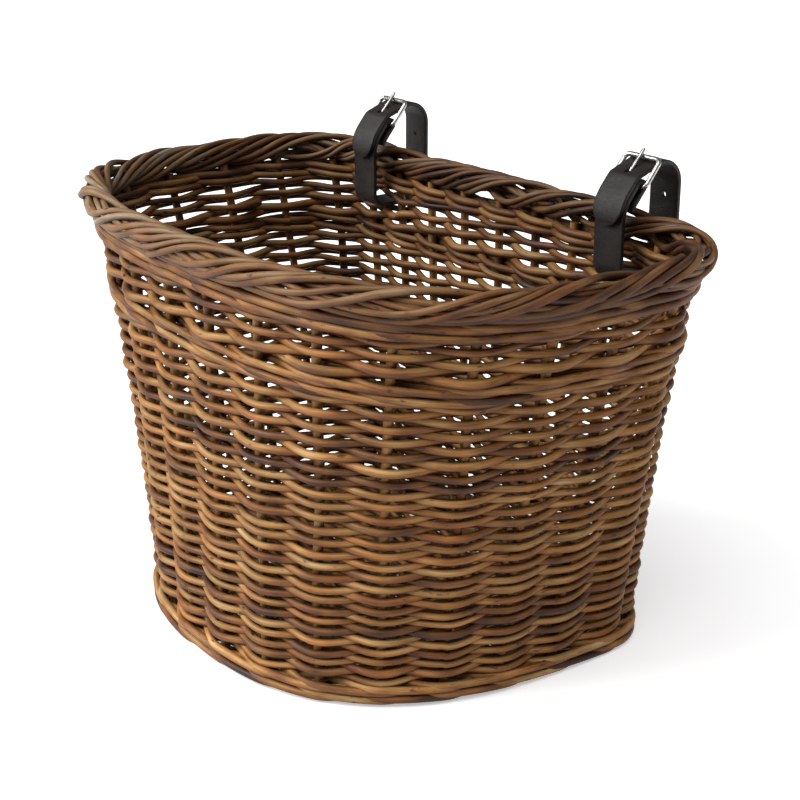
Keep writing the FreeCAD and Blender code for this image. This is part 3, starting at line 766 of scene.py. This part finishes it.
def base():
    """Hoop round the floor's edge, sticks from front to back, and rows of weaving across them."""
    low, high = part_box("base_weave")
    centre_z = (low.z + high.z) / 2
    hoop = Bundle()
    u = np.linspace(0.0, STAKES, BASE_SAMPLES)
    hoop_radius = HOOP_RADIUS * (1 + wander(u, *HOOP_DRIFT))
    hoop.rod(wall(u, centre_z, BASE_INSET), hoop_radius, HOOP_TONE, sides=HOOP_SIDES)
    hoop.piece("base_hoop_rod", stake_cane, "base_hoop")
    sticks = Bundle()
    for k in range(BASE_STICKS):
        x = (k - (BASE_STICKS - 1) / 2) * BASE_STICK_PITCH
        y = np.linspace(low.y, high.y, BASE_SAMPLES)
        inside = y[base_half_width(y, BASE_INSET) > abs(x)]
        y = np.linspace(inside.min(), inside.max(), STICK_RINGS)
        line = np.stack([x + wander(y, *STICK_SWAY), y, np.full(STICK_RINGS, centre_z)], axis=1)
        sticks.rod(line, BASE_STICK_RADIUS, random_tone(), sides=STICK_SIDES)
    sticks.piece("base_stick_rods", stake_cane, "base_sticks")
    weavers = Bundle()
    rows = int((high.y - low.y) / (BASE_ROW_PITCH * BASE_WEAVER))
    for k in range(rows):
        y = low.y + (high.y - low.y) * (k + 0.5) / rows
        half = base_half_width(np.array([y]), BASE_INSET)[0] - ROW_CLEAR
        if half < SHORTEST_ROW:
            continue
        x = np.linspace(-half, half, int(half / ROW_STEP) + ROW_RINGS)
        phase = np.cos(math.pi * (x / BASE_STICK_PITCH + k))
        z = centre_z + phase * (BASE_STICK_RADIUS + BASE_WEAVER)
        line = np.stack([x, y + wander(x, *BASE_JITTER), z], axis=1)
        weavers.rod(line, BASE_WEAVER * random.uniform(*BASE_SPREAD), random_tone())
    weavers.piece("base_weavers", wicker, "base_weave")


# ---------------------------------------------------------------- straps
FOLD_RADIUS = WIRE_RADIUS + BAR_CLEARANCE + STRAP_THICK / 2
BILLET_RISE = FOLD_RADIUS + STRAP_THICK + LAYER_GAP


def directions(lean):
    """Unit (Y, Z) vectors along and out from a strap that rises at an angle."""
    turn = math.radians(lean)
    return np.array([math.cos(turn), math.sin(turn)]), np.array([-math.sin(turn), math.cos(turn)])


CHAPE_ALONG, CHAPE_OUT = directions(CHAPE_LEAN)
ALONG, OUT = directions(BILLET_LEAN)
SHOULDER_CENTRE = np.array([STRAP_INNER_Y + SHOULDER_RADIUS, SHOULDER_Z])
BAR = SHOULDER_CENTRE + (SHOULDER_RADIUS - FOLD_RADIUS) * CHAPE_OUT + CHAPE_RUN * CHAPE_ALONG
CREST_CENTRE = BAR + FRAME_REACH * ALONG + (BILLET_RISE - CREST_RADIUS) * OUT
STRAP_OUTER_Y = CREST_CENTRE[0] + CREST_RADIUS
TRACE_STEP = 0.0006


def trace(start, heading, moves):
    """Points and headings in the Y-Z plane; a move is (length, 0) for a line or (radius, degrees)."""
    points = [np.array(start)]
    headings = [heading]
    for size, turn in moves:
        length = size if turn == 0 else size * abs(math.radians(turn))
        count = max(2, int(length / TRACE_STEP))
        for _ in range(count):
            middle = math.radians(headings[-1] + turn / count / 2)
            chord = length / count
            points.append(points[-1] + chord * np.array([math.cos(middle), math.sin(middle)]))
            headings.append(headings[-1] + turn / count)
    return np.array(points), np.radians(headings)


def strap_course():
    """The strap's middle, from the end of its flap to its tip."""
    flap_radius = SHOULDER_RADIUS - 2 * FOLD_RADIUS
    flap_turn = math.degrees((FLAP_LENGTH - CHAPE_RUN) / flap_radius)
    start_angle = math.radians(180.0 - SHOULDER_TURN + flap_turn)
    start = SHOULDER_CENTRE + flap_radius * np.array([math.cos(start_angle), math.sin(start_angle)])
    lower_z = STRAP_SLOT_Z + LOWER_CORNER
    moves = [
        (flap_radius, -flap_turn),
        (CHAPE_RUN, 0),
        (FOLD_RADIUS, 180.0),
        (CHAPE_RUN, 0),
        (SHOULDER_RADIUS, SHOULDER_TURN),
        (SHOULDER_Z - lower_z, 0),
        (LOWER_CORNER, 90.0),
        (STRAP_OUTER_Y - STRAP_INNER_Y - 2 * LOWER_CORNER, 0),
        (LOWER_CORNER, 90.0),
        (CREST_CENTRE[1] - lower_z, 0),
        (CREST_RADIUS, 90.0 + BILLET_LEAN),
        (FRAME_REACH, 0),
        (BILLET_RISE, CHAPE_LEAN - BILLET_LEAN),
        (CHAPE_RUN, 0),
        (SHOULDER_RADIUS + STRAP_THICK + LAYER_GAP, SHOULDER_TURN),
        (TIP_RUN, 0),
    ]
    return trace(start, CHAPE_LEAN + flap_turn, moves)


EDGE_RADIUS = 0.0006
SKIVED = 0.62                  # the flap's end is pared to this share of the thickness
SKIVE_RUN = 0.005
TIP_THICK = 0.70               # and the tip to this share
TIP_FADE = 0.004
TIP_BLUNT = 0.0008             # square of the tip's least width, as a share of the strap's
SOFT_SHARE = 0.6               # largest edge radius at the tip, against half the width
FACE_EDGES = (0.6, 0.2, -0.2, -0.6)     # extra edges along both faces, at these shares of the half width


def strap_body(name, side):
    """One leather strip with softened edges, a rounded tip, and its slot and holes punched through."""
    points, headings = strap_course()
    length = np.concatenate([[0.0], np.cumsum(np.linalg.norm(np.diff(points, axis=0), axis=1))])
    left = length[-1] - length
    half = STRAP_WIDTH / 2
    round_off = np.clip(1 - left / half, 0.0, 1.0)
    half_width = half * np.sqrt(np.maximum(1 - round_off ** 2, TIP_BLUNT))
    skive = SKIVED + (1 - SKIVED) * smooth(np.clip(length / SKIVE_RUN, 0.0, 1.0))
    thin_tip = TIP_THICK + (1 - TIP_THICK) * smooth(np.clip(left / TIP_FADE, 0.0, 1.0))
    half_thick = STRAP_THICK / 2 * skive * thin_tip
    profile = []
    for corner_x, corner_t, first in ((1, 1, 0.0), (-1, 1, 90.0), (-1, -1, 180.0), (1, -1, 270.0)):
        for turn in (0.0, 22.5, 45.0, 67.5, 90.0):
            angle = math.radians(first + turn)
            profile.append((corner_x, corner_t, math.cos(angle), math.sin(angle)))
        if corner_x == corner_t:
            for share in FACE_EDGES:
                profile.append((corner_x * share, corner_t, 0.0, float(corner_t)))
    verts = []
    for point, heading, wide, thick in zip(points, headings, half_width, half_thick):
        normal = np.array([-math.sin(heading), math.cos(heading)])
        soft = min(EDGE_RADIUS, wide * SOFT_SHARE)
        for corner_x, corner_t, cos_a, sin_a in profile:
            x = corner_x * (wide - soft) + soft * cos_a
            t = corner_t * (thick - EDGE_RADIUS) + EDGE_RADIUS * sin_a
            y, z = point + normal * t
            verts.append((side * STRAP_X + x, y, z))
    count = len(profile)
    faces = []
    for i in range(len(points) - 1):
        for k in range(count):
            a, b = i * count + k, i * count + (k + 1) % count
            faces.append((a, b, b + count, a + count))
    faces.append(tuple(range(count))[::-1])
    faces.append(tuple(range((len(points) - 1) * count, len(points) * count)))
    mesh = bpy.data.meshes.new(name)
    mesh.from_pydata(verts, [], faces)
    clean = bmesh.new()
    clean.from_mesh(mesh)
    bmesh.ops.recalc_face_normals(clean, faces=clean.faces)
    clean.to_mesh(mesh)
    clean.free()
    return punched(mesh, side)


PUNCH_RADIUS = 0.0016
PUNCH_SIDES = 32
PUNCH_HEIGHTS = (0.217, 0.2375)
PRONG_SLOT_REACH = 0.0034      # how far the slot runs past the buckle bar, along the chape
PRONG_SLOT_HALF = 0.0018
PRONG_HOLE = (-0.0001, 0.0078)      # start and end of the prong hole, along the billet from the bar
PRONG_HOLE_HALF = 0.0015


def cutter_block(side, lean, along, out, half_width):
    """Box round the buckle bar: its reach along and out from a strap at this lean, and half its width."""
    ahead, outward = directions(lean)
    block = bmesh.new()
    bmesh.ops.create_cube(block, size=1.0)
    for vert in block.verts:
        x, a, o = vert.co
        y, z = (BAR + (along[0] + (a + 0.5) * (along[1] - along[0])) * ahead +
                (out[0] + (o + 0.5) * (out[1] - out[0])) * outward)
        vert.co = (side * STRAP_X + 2 * x * half_width, y, z)
    bmesh.ops.recalc_face_normals(block, faces=block.faces)
    return block


def cutter_round(x, y, z):
    """Cylinder along Y. Swapping two axes turns its faces inward, so they are reversed."""
    tool = bmesh.new()
    bmesh.ops.create_cone(tool, cap_ends=True, segments=PUNCH_SIDES, radius1=PUNCH_RADIUS,
                          radius2=PUNCH_RADIUS, depth=2 * STRAP_THICK)
    for vert in tool.verts:
        a, b, c = vert.co
        vert.co = (x + a, y + c, z + b)
    bmesh.ops.reverse_faces(tool, faces=tool.faces)
    return tool


def punched(mesh, side):
    """The strap with its prong slot, prong hole and spare holes cut out."""
    skin = STRAP_THICK / 2 + LAYER_GAP / 2
    fold_skin = FOLD_RADIUS + skin
    fold = (-fold_skin, fold_skin)
    billet = (BILLET_RISE - skin, BILLET_RISE + skin)
    cutters = [
        cutter_block(side, CHAPE_LEAN, (-PRONG_SLOT_REACH, 0.0), fold, PRONG_SLOT_HALF),
        cutter_block(side, BILLET_LEAN, (-fold_skin / 2, fold_skin), fold, PRONG_SLOT_HALF),
        cutter_block(side, BILLET_LEAN, PRONG_HOLE, billet, PRONG_HOLE_HALF),
    ]
    cutters += [cutter_round(side * STRAP_X, STRAP_OUTER_Y, height) for height in PUNCH_HEIGHTS]
    body = bpy.data.objects.new("strap_blank", mesh)
    bpy.context.scene.collection.objects.link(body)
    tools = []
    for cutter in cutters:
        shape = bpy.data.meshes.new("cutter")
        cutter.to_mesh(shape)
        cutter.free()
        tool = bpy.data.objects.new("cutter", shape)
        bpy.context.scene.collection.objects.link(tool)
        cut = body.modifiers.new("cut", "BOOLEAN")
        cut.operation = "DIFFERENCE"
        cut.solver = "EXACT"
        cut.object = tool
        tools.append(tool)
    bpy.context.view_layer.update()
    evaluated = body.evaluated_get(bpy.context.evaluated_depsgraph_get())
    result = bpy.data.meshes.new_from_object(evaluated)
    for spare in [body] + tools:
        bpy.data.objects.remove(spare)
    return result


STITCHES = 4
STITCH_START = 0.0044
STITCH_PITCH = 0.0022
STITCH_X = 0.0075              # from the strap's middle to each row
STITCH_SLANT = 0.00015
STITCH_THREAD = 0.0004
STITCH_SPAN = 0.84             # length of a stitch, against the pitch
STITCH_RINGS = 13
STITCH_SIDES = 8
STITCH_TONE = 0.5
STITCH_SUNK = 0.2              # how deep a stitch lies in the leather, in thread radii
STITCH_DIP = 1.6               # and how much deeper at its ends


def stitches(name, label, side):
    """Waxed thread in two rows, lying on both faces of the fold."""
    middle = SHOULDER_RADIUS - FOLD_RADIUS
    reach = FOLD_RADIUS + STRAP_THICK / 2
    bundle = Bundle()
    for row in (-1, 1):
        for k in range(STITCHES):
            share = np.linspace(0.0, 1.0, STITCH_RINGS)
            run = STITCH_START + (k - STITCH_SPAN / 2 + STITCH_SPAN * share) * STITCH_PITCH
            angle = math.radians(180.0 - SHOULDER_TURN) + np.maximum(run - CHAPE_RUN, 0.0) / middle
            out = np.stack([np.cos(angle), np.sin(angle)], axis=1)
            line = SHOULDER_CENTRE + out * middle + np.maximum(CHAPE_RUN - run, 0.0)[:, None] * CHAPE_ALONG
            share = np.linspace(-1.0, 1.0, STITCH_RINGS)
            sunk = STITCH_SUNK * STITCH_THREAD
            for face, lift in ((-1, -sunk), (1, LAYER_GAP / 2 - sunk)):
                rise = reach + lift - STITCH_DIP * STITCH_THREAD * share ** 6
                y, z = (line + face * out * rise[:, None]).T
                x = side * STRAP_X + row * STITCH_X + STITCH_SLANT * share
                path = np.stack([x, y, z], axis=1)
                bundle.rod(path, STITCH_THREAD, STITCH_TONE, upright=(1.0, 0.0, 0.0), sides=STITCH_SIDES)
    bundle.piece(name, thread, label + "_strap_stitching", label + "_strap")


def straps():
    """Both straps with their stitches, and the plate on the CAD buckles."""
    for side, label in ((-1, "left"), (1, "right")):
        finish_piece(strap_body(label + "_strap_leather", side), label + "_strap_leather", leather,
                     label + "_strap", label + "_strap")
        stitches(label + "_strap_thread", label, side)
        for node in (label + "_buckle_frame", label + "_buckle_prong"):
            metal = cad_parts[node]
            metal.data.materials.clear()
            metal.data.materials.append(nickel["look"])


# ---------------------------------------------------------------- stage
CAMERA_PLACE = (0.66928, -0.48891, 0.42844)
CAMERA_TARGET = (0.00396, 0.02196, 0.11543)
CAMERA_LENS = 72.17
SKY = 0.25
FLOOR_SIZE = 40.0
FLOOR_COLOUR = (0.94, 0.94, 0.94, 1.0)
FLOOR_ROUGHNESS = 0.9
FLOOR_SPECULAR = 0.1
FLOOR_GLOW = 0.42
WHITE = (1.0, 1.0, 1.0, 1.0)
# name, direction it shines from, angle it spreads over, strength
SUNS = (("key", (-0.66, -1.05, 0.75), 40.0, 3.6), ("top", (0.5, -0.6, 1.5), 45.0, 1.5))


def stage():
    """Plain pale floor, soft studio light, and the camera."""
    floor_mesh = bpy.data.meshes.new("floor")
    size = FLOOR_SIZE
    corners = [(-size, -size, 0), (size, -size, 0), (size, size, 0), (-size, size, 0)]
    floor_mesh.from_pydata(corners, [], [(0, 1, 2, 3)])
    floor = bpy.data.objects.new("floor", floor_mesh)
    bpy.context.scene.collection.objects.link(floor)
    paint, _, _, shader = new_material("floor_paint")
    shader.inputs["Base Color"].default_value = FLOOR_COLOUR
    shader.inputs["Roughness"].default_value = FLOOR_ROUGHNESS
    shader.inputs["Specular IOR Level"].default_value = FLOOR_SPECULAR
    shader.inputs["Emission Color"].default_value = WHITE
    shader.inputs["Emission Strength"].default_value = FLOOR_GLOW
    floor_mesh.materials.append(paint)
    world = bpy.data.worlds.new("studio")
    world.use_nodes = True
    sky = world.node_tree.nodes["Background"]
    sky.inputs["Color"].default_value = WHITE
    sky.inputs["Strength"].default_value = SKY
    bpy.context.scene.world = world
    for name, place, spread, power in SUNS:
        lamp = bpy.data.lights.new(name, "SUN")
        lamp.angle = math.radians(spread)
        lamp.energy = power
        holder = bpy.data.objects.new(name, lamp)
        holder.rotation_euler = (-Vector(place)).to_track_quat("-Z", "Y").to_euler()
        bpy.context.scene.collection.objects.link(holder)
    camera = bpy.data.cameras.new("camera")
    camera.lens = CAMERA_LENS
    eye = bpy.data.objects.new("camera", camera)
    eye.location = CAMERA_PLACE
    view = Vector(CAMERA_TARGET) - Vector(CAMERA_PLACE)
    eye.rotation_euler = view.to_track_quat("-Z", "Y").to_euler()
    bpy.context.scene.collection.objects.link(eye)
    bpy.context.scene.camera = eye


# ---------------------------------------------------------------- build
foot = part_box("foot_wale")
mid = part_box("mid_wale")
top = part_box("top_wale")
stakes()
wale("foot_wale_canes", "foot_wale", FOOT_START, foot[1].z, *FOOT_WALE)
weave("lower_weave", "lower_weave", foot[1].z, mid[0].z, LOWER_ROWS, FOOT_TIGHTER, 0, LOWER_RADIUS)
wale("mid_wale_canes", "mid_wale", mid[0].z, mid[1].z, *MID_WALE)
weave("upper_weave", "upper_weave", mid[1].z, top[0].z, UPPER_ROWS, 0.0, 1, UPPER_RADIUS)
wale("top_wale_canes", "top_wale", top[0].z, top[1].z + TOP_WALE_RISE, *TOP_WALE)
border()
base()
straps()
stage()
bpy.context.scene.view_settings.view_transform = "Standard"
